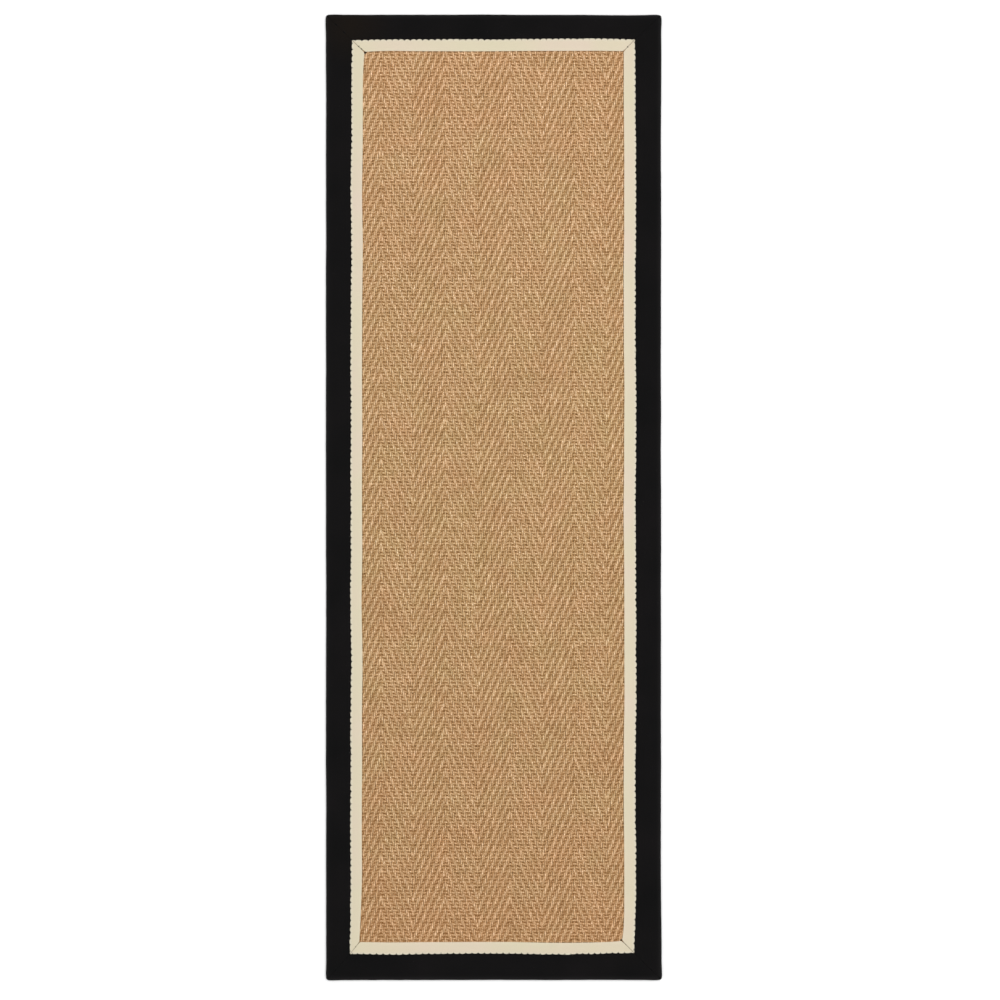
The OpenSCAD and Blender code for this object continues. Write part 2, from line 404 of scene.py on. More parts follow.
# Colours are linear RGB, and a ramp's stops are (place, colour).
# The sisal's own colour, from its greener patches to its redder ones.
SISAL_HUES = ((0.35, (0.706, 0.483, 0.259)), (0.57, (0.722, 0.469, 0.261)),
              (0.80, (0.744, 0.457, 0.253)))
# Painted shade: what that colour is multiplied by, darkest in the hollows between the yarns and lightest
# on the tops of the floats.
SISAL_DEPTH_SHADES = ((0.0, (0.660, 0.542, 0.368)), (0.28, (0.688, 0.590, 0.433)),
                (0.52, (0.743, 0.687, 0.583)), (0.68, (0.775, 0.748, 0.685)),
                (0.867, (0.860, 0.864, 0.844)), (1.0, (0.888, 0.920, 0.943)))
HOLLOW_Z, FLOAT_Z = WEAVE_Z - 0.6 * MM, WEAVE_Z + 2.25 * MM  # heights at the two ends of that ramp
YARN_TURN = 11 * MM  # the length of one turn of the sisal yarn
YARN_PLIES = 2.0
CANVAS_THREAD = 1.3 * MM  # from one thread of the black canvas to the next
RIM_PALE = 11 * MM  # how far in from the rim the black is paler
GAPE = 15.5 * MM  # painted shadow of a gap in the binding's mitres, once in this length
TWILL_RIB = 1.1 * MM  # from one rib of the ribbon's twill to the next
SEAM_LIGHT = 5 * MM  # painted light: the ribbon is paler over this length beside the binding, against the shade of the binding's edge
THREAD_TURN = 1.6 * MM  # the length of one turn of the sewing thread


def sisal_material():
    """Twisted sisal yarn: fibres, flecks and ply grooves with painted shade in them, slow drifts of
    tone, painted shade in the hollows and painted light towards the head.
    """
    n = Nodes("sisal_yarn")
    around, along = n.cloth_map()
    twist = n.plus(n.times(along, -1 / YARN_TURN), around)
    yarn = n.attribute("yarn")

    def grain(finer_round, finer_along, apart, detail, roughness):
        """Noise drawn out along the twist; apart sets how unlike two yarns are."""
        place = n.combine(n.times(twist, finer_round), n.times(along, finer_along), n.times(yarn, apart))
        return n.noise(place, 1.0, detail, roughness)

    groove = n.power(n.wave(n.times(twist, YARN_PLIES), 1.0), 3.0)
    fibres = grain(9.0, 320.0, 50.0, 3.0, 0.6)
    flecks = grain(2.0, 420.0, 70.0, 1.0, 0.5)
    place = n.position()
    split = n.add("SeparateXYZ", {0: place})
    y, z = split.outputs[1], split.outputs[2]
    patch = n.noise(place, 12.0, 4.0, 0.62)
    near_ends = n.power(n.times(y, 1 / HALF_L), 2.0)
    colour = n.ramp(n.plus(patch, n.times(near_ends, 0.28)), *SISAL_HUES)
    # Painted shade by height: the lower a yarn lies, the darker it is coloured.
    hollow_shade = n.ramp(n.fit(z, HOLLOW_Z, FLOAT_Z), *SISAL_DEPTH_SHADES)
    colour = n.mix(1.0, colour, hollow_shade, "MULTIPLY")
    elsewhere = n.add("VectorMath", {0: place, 1: (3, 7, 0)}, operation="ADD").outputs[0]
    cloud = n.noise(elsewhere, 14.0, 3.0, 0.6)
    light = n.plus(n.attribute("tone"), 1.0)
    for value, low, high, at_low, at_high in (
            (cloud, 0.25, 0.75, 0.96, 1.04),
            # painted shade in the ply grooves
            (groove, 0.0, 1.0, 1.03, 0.88),
            (fibres, 0.3, 0.7, 0.70, 1.28),
            (flecks, 0.3, 0.7, 0.74, 1.24),
            # painted light: lighter towards the head, darker towards the foot
            (y, -HALF_L, HALF_L, 0.955, 1.048)):
        light = n.times(light, n.fit(value, low, high, at_low, at_high))
    redder_when_dark = n.combine(light, n.power(light, 1.25), n.power(light, 1.7))
    colour = n.add("VectorMath", {0: colour, 1: redder_when_dark}, operation="MULTIPLY").outputs[0]
    relief = n.math("SUBTRACT", n.times(fibres, 0.35), groove)
    return n.finish(colour, relief, 0.25 * MM, roughness=0.85, specular=0.15)


def canvas_material():
    """Black cotton canvas: crossing threads with painted shade between them, a paler rim, a little lint,
    and gaping mitres with painted shadow in the gaps and painted shade along the seam.
    """
    black, warm_black = (0.0054, 0.0053, 0.0054), (0.0073, 0.0066, 0.0068)
    paler_rim_black, rubbed_black = (0.0165, 0.0158, 0.0158), (0.0105, 0.0078, 0.0056)
    lip_black, gap_shadow_black = (0.013, 0.0125, 0.0125), (0.0006, 0.0006, 0.0006)
    lint_grey = (0.2, 0.19, 0.18)
    n = Nodes("black_canvas")
    across, along = n.cloth_map()
    threads = n.times(n.wave(across, CANVAS_THREAD), n.wave(along, CANVAS_THREAD))
    place = n.position()
    slow = n.noise(place, 9.0, 2.0, 0.5)
    fine = n.noise(place, 700.0, 2.0, 0.6)
    colour = n.mix(n.fit(slow, 0.3, 0.7), black, warm_black)
    depth = n.attribute("depth")
    paler_rim = n.power(n.fit(depth, 0.0, RIM_PALE, 1.0, 0.0), 1.8)
    colour = n.mix(n.times(paler_rim, n.fit(slow, 0.2, 0.8, 0.6, 1.0)), colour, paler_rim_black)
    rubbed_place = (-HALF_W + 50 * MM, HALF_L - 20 * MM, 0)
    away = n.add("VectorMath", {0: place, 1: rubbed_place}, operation="DISTANCE").outputs["Value"]
    colour = n.mix(n.times(n.fit(away, 0.0, 90 * MM, 1.0, 0.0), 0.8), colour, rubbed_black)
    lint = n.fit(n.noise(place, 330.0, 1.0), 0.76, 0.82, 0.0, 0.05)
    colour = n.mix(lint, colour, lint_grey)
    # Painted shade between the canvas threads.
    colour = n.shade(colour, n.fit(n.plus(threads, fine), 0.2, 1.4, 0.66, 1.36))
    mitre = n.attribute("mitre")
    gaping = n.power(n.wave(depth, GAPE), 4.0)
    lip = n.times(gaping, n.fit(mitre, 1.2 * MM, 2.6 * MM, 1.0, 0.0))
    colour = n.mix(n.times(lip, 0.6), colour, lip_black)
    # Painted shade along the mitre's seam.
    colour = n.shade(colour, n.fit(mitre, 0.3 * MM, 0.9 * MM, 0.85, 1.0))
    # Painted shadow in the mitre's gaps.
    gap = n.times(gaping, n.fit(mitre, 0.7 * MM, 1.2 * MM, 1.0, 0.0))
    colour = n.mix(gap, colour, gap_shadow_black)
    height = n.plus(threads, n.times(fine, 0.4))
    return n.finish(colour, height, 0.12 * MM, roughness=0.95, specular=0.03)


def ribbon_material():
    """Cream cotton twill: paler with painted light and puckered with painted shade beside the binding,
    painted shade between its ribs and in the mitres, and a painted highlight along the fold.
    """
    creams = ((0.32, (0.598, 0.546, 0.392)), (0.5, (0.612, 0.540, 0.403)), (0.68, (0.626, 0.530, 0.420)))
    seam_light_cream, pucker_shade_brown = (0.660, 0.610, 0.480), (0.40, 0.35, 0.30)
    n = Nodes("cream_twill")
    across, along = n.cloth_map()
    twill = n.wave(n.plus(across, along), TWILL_RIB)
    place = n.position()
    fine = n.noise(place, 800.0, 2.0, 0.6)
    colour = n.ramp(n.noise(place, 6.0, 3.0, 0.55), *creams)
    depth = n.attribute("depth")
    # Painted light beside the binding, against the shade of its edge.
    beside = n.fit(depth, TAPE_IN, TAPE_IN + SEAM_LIGHT, 1.0, 0.0)
    colour = n.mix(beside, colour, seam_light_cream)
    puckers = n.noise(n.combine(n.times(across, 260.0), n.times(along, 420.0), 0.0), 1.0, 2.0)
    # Painted shade in the puckers beside the stitches.
    pucker_shade = n.times(n.fit(puckers, 0.50, 0.68), beside)
    colour = n.mix(n.times(pucker_shade, 0.35), colour, pucker_shade_brown)
    # Painted shade along the mitre's crease.
    mitre_line = n.fit(n.attribute("mitre"), 0.15 * MM, 0.65 * MM, 0.25, 1.0)
    # Painted shade between the twill's ribs.
    light = n.times(n.fit(n.plus(twill, fine), 0.2, 1.5, 0.95, 1.05), mitre_line)
    # Painted highlight just inside the fold.
    light = n.times(light, n.fit(depth, RIBBON_IN - 6 * MM, RIBBON_IN - 1 * MM, 1.0, 1.03))
    height = n.plus(twill, n.times(fine, 0.5))
    return n.finish(n.shade(colour, light), height, 0.08 * MM, roughness=0.95, specular=0.12)


def thread_material(name, colour, specular):
    """Two-ply sewing thread."""
    n = Nodes(name)
    around, along = n.cloth_map()
    ply = n.wave(n.plus(n.times(along, 1 / THREAD_TURN), around), 0.5)
    fuzz = n.noise(n.position(), 1500.0, 2.0)
    # Painted shade between the plies.
    light = n.times(n.fit(ply, 0.0, 1.0, 0.6, 1.15), n.fit(fuzz, 0.2, 0.8, 0.8, 1.2))
    return n.finish(n.shade(colour, light), ply, 0.08 * MM, roughness=0.7, specular=specular)


def latex_material():
    """Cream latex: the weave shows through it, and it is brown where it has soaked into the sisal."""
    cream, pale_cream, soaked_brown = (0.56, 0.50, 0.37), (0.64, 0.58, 0.45), (0.36, 0.18, 0.06)
    n = Nodes("latex_coat")
    split = n.add("SeparateXYZ", {0: n.position()})
    print_through = n.times(n.wave(split.outputs[0], 2 * WARP_PITCH),
                            n.wave(split.outputs[1], WEFT_PITCH))
    slow = n.noise(n.position(), 9.0, 3.0)
    fine = n.noise(n.position(), 420.0, 3.0, 0.6)
    colour = n.mix(n.fit(slow, 0.3, 0.7), cream, pale_cream)
    # Painted shade in the low parts of the weave's imprint.
    colour = n.shade(colour, n.fit(n.plus(print_through, fine), 0.3, 1.3, 0.86, 1.06))
    soaked = n.fit(split.outputs[2], 0.9 * MM, 1.3 * MM)
    colour = n.mix(soaked, colour, soaked_brown)
    height = n.plus(print_through, n.times(fine, 0.5))
    return n.finish(colour, height, 0.5 * MM, roughness=0.75, specular=0.3)


def glue_material():
    """Dried glue: lumpy, amber, a little shiny."""
    amber, pale_amber = (0.55, 0.46, 0.28), (0.68, 0.60, 0.42)
    n = Nodes("dried_glue")
    blobs = n.noise(n.position(), 180.0, 3.0)
    colour = n.mix(n.fit(blobs, 0.3, 0.7), amber, pale_amber)
    return n.finish(colour, blobs, 0.2 * MM, roughness=0.4, specular=0.5)


# ---- the woven field

def fold_index(column):
    """The column counted back and forth, so that the twill turns at the middle of a herringbone."""
    half = STRIPE_WARPS / 2
    place = np.mod(column + half, 2 * STRIPE_WARPS)
    return np.where(place <= STRIPE_WARPS, place - half, 3 * half - place)


def twill_climb(column):
    """1 where the twill climbs to the right, -1 where it climbs to the left, 0 where it turns."""
    return (fold_index(column + 1) - fold_index(column - 1)) / 2


def twill_turn(row, column):
    """How far round its over-and-under cycle a warp is, in radians: 0 at the middle of a float."""
    return 2 * np.pi * (row - fold_index(column) - 0.5) / TWILL


def crimp(row, column):
    """1 where a warp is on top of the cloth, -1 where it is under it, smooth between."""
    turn = twill_turn(row, column)
    return np.tanh(CRIMP_SHARPNESS * np.cos(turn)) / np.tanh(CRIMP_SHARPNESS)


def tuck_down(x, y):
    """How far a point is pressed down where the ribbon lies on it."""
    past = np.maximum(np.abs(x) - (HALF_W - RIBBON_IN), np.abs(y) - (HALF_L - RIBBON_IN))
    return TUCK_DOWN * rise(past - 1 * MM, 3 * MM)


def hold_back(tone):
    """Tones above BRIGHT_TONE are pulled halfway back to it."""
    return tone - np.maximum(tone - BRIGHT_TONE, 0) / 2


def woven_pieces(name, groups, centres, across, half_w, half_h, tone, material):
    """Mesh pieces of yarns, one for each of the groups, which pick yarns by their number."""
    yarn = np.broadcast_to(rng.uniform(0, 1, (len(tone), 1)), tone.shape)
    return [tubes(f"{name}_{number}", centres[pick], across, half_w[pick], half_h, YARN_SIDES, material,
                  "sisal", {"tone": hold_back(tone[pick]), "yarn": yarn[pick]})
            for number, pick in enumerate(groups, 1)]


def make_warps(material):
    """The yarns that run along the rug, in pieces of one herringbone stripe each."""
    last = int((HALF_W - RIBBON_IN + TUCK) / WARP_PITCH)
    rows = int((HALF_L - RIBBON_IN + TUCK) / WEFT_PITCH)
    row = np.linspace(-rows - YARN_END, rows + YARN_END, 2 * rows * WARP_RINGS + 1)
    columns = np.arange(-last, last + 1)
    count = len(columns)
    lift = crimp(row[None, :], columns[:, None])
    climb = twill_climb(columns)[:, None]
    lean = -WARP_LEAN * climb * np.sin(twill_turn(row[None, :], columns[:, None]))
    reach = WARP_REACH + layered_noise(count, row, WARP_NOISE["reach"])
    x = columns[:, None] * WARP_PITCH + lean + layered_noise(count, row, WARP_NOISE["waver"])
    y = row * WEFT_PITCH + WEFT_SKEW * x
    z = WEAVE_Z + WARP_CRIMP * lift * reach - tuck_down(x, y)
    thick = 1 + layered_noise(count, row, WARP_NOISE["thickness"])
    half_w = WARP_HALF_W * (1.0 + FLOAT_SPREAD * lift) * thick
    # The tone holds random tone and painted light where the twill climbs to the right.
    tone = (YARN_TONE * rng.uniform(-1, 1, (count, 1)) + layered_noise(count, row, WARP_NOISE["tone"])
            + CLIMB_LIGHT * climb)
    stripe = np.floor((columns + STRIPE_WARPS / 2) / STRIPE_WARPS).astype(int)
    stripes = [stripe == which for which in np.unique(stripe)]
    return woven_pieces("sisal_warps", stripes, np.stack([x, y, z], -1), (1.0, 0, 0), half_w,
                        WARP_HALF_H, tone, material)


def make_wefts(material):
    """The thicker yarns that run across the rug, in pieces of WEFTS_PER_PIECE each."""
    last = int((HALF_L - RIBBON_IN + TUCK) / WEFT_PITCH)
    columns = int((HALF_W - RIBBON_IN + TUCK) / WARP_PITCH)
    column = np.linspace(-columns - YARN_END, columns + YARN_END, 2 * columns * WEFT_RINGS + 1)
    rows = np.arange(-last, last + 1)
    count = len(rows)
    x = np.broadcast_to(column * WARP_PITCH, (count, len(column)))
    lift = -crimp(rows[:, None], column[None, :])
    nested = twill_climb(column)[None, :]
    reach = WEFT_REACH + layered_noise(count, column, WEFT_NOISE["reach"])
    tilt = WEFT_TILT * np.sin(twill_turn(rows[:, None], column[None, :]))
    waver = layered_noise(count, column, WEFT_NOISE["waver"])
    y = rows[:, None] * WEFT_PITCH + WEFT_SKEW * x + tilt + waver
    z = WEAVE_Z + WEFT_CRIMP * lift * reach * (1 - WEFT_NESTING * nested) - tuck_down(x, y)
    thick = 1 + layered_noise(count, column, WEFT_NOISE["thickness"])
    # The tone holds random tone, painted shade at the ends of the floats, and painted shade where the
    # twill climbs to the right.
    tone = (YARN_TONE * rng.uniform(-1, 1, (count, 1)) + layered_noise(count, column, WEFT_NOISE["tone"])
            - WEFT_END_SHADE * (1 - np.clip(lift, 0, 1) ** 2) + WEFT_TONE - NESTED_SHADE * nested)
    bands = [slice(first, first + WEFTS_PER_PIECE) for first in range(0, count, WEFTS_PER_PIECE)]
    return woven_pieces("sisal_wefts", bands, np.stack([x, y, z], -1), (0, 1.0, 0),
                        WEFT_HALF_W * thick, WEFT_HALF_H, tone, material)


# ---- strips round the edge

def half_across(side):
    """How far the rim of a side is from the rug's middle."""
    return HALF_W if side % 2 == 0 else HALF_L


def run(side):
    """The length of a side."""
    return 2 * (HALF_L if side % 2 == 0 else HALF_W)


def to_rug(side, u, s, z):
    """Points at u in from the rim and s along that side, in the rug's frame."""
    out = half_across(side) - u
    turned = ((out, s), (-s, out), (-out, -s), (s, -out))[side]
    return np.stack(np.broadcast_arrays(*turned, z), -1)


def bend(side, s, places):
    """A value along a side: even in the middle, turning near the ends to its first and last place."""
    start, early, late, end = places
    reach = half_across(side + 1)
    steady = early + (late - early) * rise(s + reach, 2 * reach)
    near_start = rise(-s - reach + BEND_LENGTH, BEND_LENGTH - RIBBON_IN) ** BEND_EASE
    near_end = rise(s - reach + BEND_LENGTH, BEND_LENGTH - RIBBON_IN) ** BEND_EASE
    return steady + (start - steady) * near_start + (end - steady) * near_end


def turn_in(side, s):
    """How far the fold turns in as it comes to each inner corner."""
    reach = half_across(side + 1) - RIBBON_IN
    at_start, at_end = TURN_IN[SIDES[side]]
    return (at_start * np.exp(-np.maximum(reach + s, 0) / TURN_LENGTH)
            + at_end * np.exp(-np.maximum(reach - s, 0) / TURN_LENGTH)) * MM


def drift(side, s, u):
    """How far a point of the border lies further in than it should, as cloth laid by hand does."""
    rim, seam, fold = (bend(side, s, places) * MM for places in HAND_LAID[SIDES[side]])
    calm = rise(half_across(side + 1) - RIBBON_IN - np.abs(s), 60 * MM)
    wave = LAID_WAVE * laid_waves[side](s) * calm
    seam = seam + wave
    fold = fold + 0.8 * wave + turn_in(side, s)
    outer = rim + (seam - rim) * u / TAPE_IN
    inner = seam + (fold - seam) * (u - TAPE_IN) / (RIBBON_IN - TAPE_IN)
    fade = fold * (1 - rise(u - RIBBON_IN, DRIFT_FADE))
    return np.where(u < TAPE_IN, outer, np.where(u < RIBBON_IN, inner, fade))


laid_waves = [table_noise(LAID_WAVE_STEP, run(side)) for side in range(4)]


def hand_laid(points):
    """Moves points of the border by the drift of all four sides at once, so that mitres still meet."""
    x, y = points[..., 0], points[..., 1]
    moved = points.copy()
    moved[..., 0] += (drift(2, -y, HALF_W + x) - drift(0, y, HALF_W - x))
    moved[..., 1] += (drift(3, x, HALF_L + y) - drift(1, -x, HALF_L - y))
    return moved


def ring_places(length):
    """Distances of a strip's rings from its middle, close together near both mitres."""
    start, end = -length / 2 + MITRE_RINGS, length / 2 - MITRE_RINGS[::-1]
    steps = int((end[0] - start[-1]) / TAPE_RING)
    return np.concatenate([start, np.linspace(start[-1], end[0], steps + 1)[1:-1], end])


def lean_to_mitre(places, u, length, gap):
    """Where each ring lies at u: rings near an end lean until the last one is on the mitre."""
    from_end = length / 2 - np.abs(places)
    limit = u + gap
    leaned = limit + from_end / MITRE_ZONE * (MITRE_ZONE - limit)
    return np.sign(places) * (length / 2 - np.where(from_end < MITRE_ZONE, leaned, from_end))


def round_corner(u, s, length, radius):
    """Pulls the sharp outer corner in to an arc."""
    a, b = radius - u, radius - (length / 2 - np.abs(s))
    inside = (a > 0) & (b > 0)
    scale = np.where(inside, np.maximum(a, b) / np.maximum(np.hypot(a, b), 1e-9), 1.0)
    return (np.where(inside, radius - a * scale, u),
            np.where(inside, np.sign(s) * (length / 2 - (radius - b * scale)), s))


def at_corner(side, s, values):
    """Each point's value, picked from values of the four CORNERS by its end of the side."""
    return np.where(s > 0, values[side], values[side - 1])


def arc(centre, radius, start, end, steps):
    """Points of an arc in (u, z), angles in degrees."""
    angle = np.radians(np.linspace(start, end, steps))
    return np.stack([centre[0] + radius * np.cos(angle), centre[1] + radius * np.sin(angle)], 1)


def resample(line, spacing):
    """The line's own points, with more put in wherever two are further apart than spacing."""
    points = [line[0]]
    for a, b in zip(line[:-1], line[1:]):
        parts = max(1, math.ceil(np.linalg.norm(b - a) / spacing))
        points += [a + (b - a) * k / parts for k in range(1, parts + 1)]
    return np.array(points)


def thickened(line, thickness):
    """The line's inner side: each point moved square to the line, to its left."""
    tangent = np.gradient(line, axis=0)
    tangent /= np.linalg.norm(tangent, axis=1, keepdims=True)
    return line + thickness * np.stack([-tangent[:, 1], tangent[:, 0]], 1)


def tape_line():
    """The binding's outer surface in (u, z), from its stitched edge over the rim to the back flap."""
    step_u = RIBBON_OUT - 1.5 * MM         # where it starts down off the ribbon's hidden edge
    rim_h = TAPE_Z1 - RIBBON_T
    top_r, low_r = 2.9 * MM, 1.8 * MM      # how the rim is rounded above and below
    face = np.array([(TAPE_IN, TAPE_Z1), (TAPE_IN - 0.4 * MM, TAPE_Z1), (TAPE_IN - 1.2 * MM, TAPE_Z1),
                     (step_u, TAPE_Z1), (step_u - 3 * MM, rim_h), (top_r, rim_h)])
    rim_top = arc((top_r, rim_h - top_r), top_r, 90, 180, 9)
    rim_low = arc((low_r, low_r), low_r, 180, 270, 7)
    flap = np.array([(low_r, 0), (FLAP_W, 0)])
    return resample(np.concatenate([face, rim_top[1:], rim_low, flap[1:]]), 3.2 * MM)


def ribbon_line():
    """The ribbon's outer surface in (u, z), from its hem round the fold and out under the binding."""
    low = SISAL_Z1 + RIBBON_T
    high = RIBBON_HIGH.z
    fold_r = (high - SISAL_Z1) / 2
    fold_u = RIBBON_IN - fold_r
    top = np.array([(RIBBON_OUT, low), (TAPE_IN - 1 * MM, low), (TAPE_IN + 2 * MM, low + 0.05 * MM),
                    (TAPE_IN + 8 * MM, low + 0.3 * MM), (TAPE_IN + 15 * MM, high - 0.15 * MM),
                    (TAPE_IN + 20 * MM, high), (fold_u, high)])
    fold = arc((fold_u, SISAL_Z1 + fold_r), fold_r, 90, -90, 9)
    hem = np.array([(fold_u, SISAL_Z1), (RIBBON_IN - 5.5 * MM, SISAL_Z1)])
    return resample(np.concatenate([top, fold[1:], hem[1:]]), 1.8 * MM)[::-1]


def strip(name, side, line, thickness, shape, material, gap):
    """A mitred cloth strip. shape(u, z, s, length, mitre) moves the points of each ring."""
    length = run(side)
    walk = np.concatenate([[0], np.cumsum(np.linalg.norm(np.diff(line, axis=0), axis=1))])
    inner = thickened(line, thickness)
    loop = np.concatenate([line, inner[::-1]])
    walked = np.concatenate([walk, walk[::-1]])
    places = ring_places(length)[:, None]
    u = np.broadcast_to(loop[:, 0], (len(places), len(loop)))
    z = np.broadcast_to(loop[:, 1], u.shape)
    s = lean_to_mitre(places, u, length, gap)
    mitre = (length / 2 - u - np.abs(s)) / math.sqrt(2)
    inner_end = rise(u - TAPE_IN, RIBBON_IN - TAPE_IN)
    opened = 1 + (at_corner(side, s, MITRE_OPEN) - 1) * inner_end
    # Dividing by the opening widens the painted shade along the mitre where it has opened.
    values = {"depth": u.astype(np.float32), "mitre": (mitre / opened).astype(np.float32)}
    where = np.stack([s, np.broadcast_to(walked, s.shape)], -1)
    u, s, z = shape(u, z, s, length, mitre)
    points = hand_laid(to_rug(side, u, s, z)).reshape(-1, 3)
    rings, count = len(places), len(loop)
    quads = grid_quads(rings, count, closed=True)
    ladder = np.arange(len(line) - 1)
    cap = np.stack([ladder, ladder + 1, count - 2 - ladder, count - 1 - ladder], 1)
    quads = np.concatenate([quads, cap[:, ::-1], (rings - 1) * count + cap])
    uv = where.reshape(-1, 2)[quads.ravel()]
    return make_piece(name, points, quads, material, values, uv.astype(np.float32))


def whip_places(side):
    """Where the whip stitches of a side lie, as its CAD node has them."""
    low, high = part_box("binding_stitches_" + SIDES[side])
    reach = (high.y - low.y) if side % 2 == 0 else (high.x - low.x)
    gaps = int(reach / WHIP_PITCH)
    return (np.arange(gaps + 1) - gaps / 2) * WHIP_PITCH


def pull(s, places, half_width):
    """1 at a stitch, falling to 0 between two stitches."""
    index = np.clip(np.rint((s - places[0]) / WHIP_PITCH).astype(int), 0, len(places) - 1)
    return hill(s - places[index], half_width)


def make_binding(side, places, material):
    """A wide black strip: scalloped where it is stitched, wavy at the rim, proud at the corners."""
    length = run(side)
    rim_wave, rim_ripple = table_noise(90 * MM, length), table_noise(17 * MM, length)
    edge_wave, hump = table_noise(17 * MM, length), table_noise(45 * MM, length)
    uneven, edge_ripple = table_noise(WHIP_PITCH, length), table_noise(4.5 * MM, length)

    def shape(u, z, s, length, mitre):
        on_face = z > WEAVE_Z
        from_end = length / 2 - np.abs(s)
        calm = rise(from_end, 30 * MM)
        edge = (1 - rise(TAPE_IN - u, EDGE_REACH)) * on_face
        tooth = pull(s, places, TOOTH_HALF_W) * (1 + TOOTH_UNEVEN * uneven(s))
        inside = rise(from_end - TAPE_IN, 24 * MM)
        u_new = u + edge ** 2 * inside * (TOOTH * tooth - EDGE_BACK + EDGE_WAVE * edge_wave(s)
                                           + EDGE_RIPPLE * edge_ripple(s))
        rim = 1 - rise(u, RIM_REACH)
        ear = hill(from_end - EAR_AT, EAR_HALF_W) * rise(mitre, 6 * MM)
        u_new = u_new - rim * (RIM_WAVE * rim_wave(s) * calm + RIM_RIPPLE * rim_ripple(s) * calm
                               + EAR * ear)
        middle = rise(u, PAD_REACH) * rise(TAPE_IN - u, PAD_REACH)
        z_new = z + on_face * (middle * (PAD + PAD_WAVE * hump(s))
                               - edge * DENT * pull(s, places, DENT_HALF_W) * inside)
        z_new = z_new - on_face * (u > 3 * MM) * TAPE_DIP * hill(mitre, TAPE_DIP_HALF_W)
        u_new, s_new = round_corner(u_new, s, length, CORNER_R)
        return u_new, s_new, z_new

    name = "binding_" + SIDES[side]
    piece = strip(name + "_tape", side, tape_line(), TAPE_T, shape, material, 0.0)
    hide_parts(name)


def make_ribbon(side, places, material):
    """A cream strip: puckered beside the stitches, folded under at its inner edge."""
    length = run(side)
    fold_wave, fold_ripple = table_noise(80 * MM, length), table_noise(5 * MM, length)
    swell, pucker = table_noise(35 * MM, length), table_noise(3.2 * MM, length)

    def shape(u, z, s, length, mitre):
        fold = rise(u - TAPE_IN - FOLD_FROM, RIBBON_IN - TAPE_IN - FOLD_FROM)
        calm = rise(length / 2 - u - np.abs(s), 10 * MM)
        u_new = u + fold * calm * (FOLD_WAVE * fold_wave(s) + FOLD_RIPPLE * fold_ripple(s))
        opened = at_corner(side, s, MITRE_OPEN)
        notch = (1 - rise(mitre, NOTCH_HALF_W * opened)) ** 2
        notch = notch * rise(u - RIBBON_IN + NOTCH_REACH, NOTCH_REACH)
        u_new = u_new - NOTCH * opened * notch
        beside = hill(np.maximum(u - TAPE_IN, 0), PUCKER_REACH) * (u > TAPE_IN - 1 * MM)
        pressed = STITCH_PRESS * pull(s, places, STITCH_PRESS_HALF_W)
        top = z > SISAL_Z1 + 0.3 * MM
        z_new = z + top * (SWELL * swell(s) * fold * calm + beside * (PUCKER * pucker(s) - pressed))
        z_new = z_new - top * RIBBON_DIP * hill(mitre, RIBBON_DIP_HALF_W)
        return u_new, s, z_new

    name = "accent_ribbon_" + SIDES[side]
    piece = strip(name + "_cloth", side, ribbon_line(), RIBBON_T, shape, material,
                  0.15 * MM)
    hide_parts(name)


def make_margin(side, material):
    """The sisal that lies hidden under the ribbon and the binding, from its cut edge to the field."""
    inner = RIBBON_IN - TUCK
    top, rib = SISAL_Z1 - 0.15 * MM, 0.1 * MM
    line = resample(np.array([(inner, top), (CORE_IN + 0.3 * MM, top)]), 6 * MM)

    def shape(u, z, s, length, mitre):
        ribs = rib * np.cos(2 * np.pi * s / WEFT_PITCH) * (z > WEAVE_Z)
        u, s = round_corner(u, s, length, CORNER_R)
        return u, s, z + ribs - rib

    return strip("sisal_margin_" + SIDES[side], side, line, top - SISAL_Z0 - 0.2 * MM, shape,
                 material, 0.0)


# ---- stitches

def make_whip_stitches(side, places, material):
    """Each stitch is two strands of waxed thread that grip the tape's edge and dive into the ribbon."""
    over = np.array([(-3.2, -0.6), (-2.6, 0.02), (-1.6, 0.16), (-0.2, 0.12), (0.9, -0.02),
                     (1.5, -0.35)]) * MM + (TAPE_IN, TAPE_Z1)
    down = np.array([(1.9, 0), (2.1, -0.4)]) * MM + (TAPE_IN, SISAL_Z1 + RIBBON_T)
    path = np.concatenate([over, down])
    share = np.linspace(-0.5, 0.5, len(path))
    strands = []
    for s in places:
        longer = 1 + 0.18 * rng.uniform(-1, 1)
        shaped = path.copy()
        shaped[:, 0] = TAPE_IN + (path[:, 0] - TAPE_IN) * longer
        slant = 0.9 * MM * rng.uniform(-0.3, 1)
        for spread in (-WHIP_APART, WHIP_APART):
            along = s + 0.25 * MM * rng.uniform(-1, 1) + spread + slant * share
            strands.append(to_rug(side, shaped[:, 0], along, shaped[:, 1]))
    centres = hand_laid(np.array(strands))
    along_side = to_rug(side, 0.0, 1.0, 0.0) - to_rug(side, 0.0, 0.0, 0.0)
    name = "binding_stitches_" + SIDES[side]
    piece = tubes(name + "_thread", centres, along_side, *WHIP_STRAND, 8, material, "black_thread")
    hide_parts(name)


def make_seam_thread(side, material):
    """The thread inside the ribbon's fold, up at one stitch and down at the next."""
    stitch = 4 * MM
    name = "ribbon_seam_thread_" + SIDES[side]
    low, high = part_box(name)
    middle = (low + high) / 2
    u = half_across(side) - (abs(middle.x) if side % 2 == 0 else abs(middle.y))
    reach = (high.y - low.y) / 2 if side % 2 == 0 else (high.x - low.x) / 2
    s = np.arange(-reach, reach, stitch)
    z = middle.z + 0.03 * MM * np.cos(np.pi * s / stitch)
    centres = hand_laid(to_rug(side, u, s, z))[None]
    radius = (high.z - low.z) / 2
    piece = tubes(name + "_thread", centres, (0, 0, 1.0), radius, radius, 6, material, "cream_thread")
    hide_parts(name)


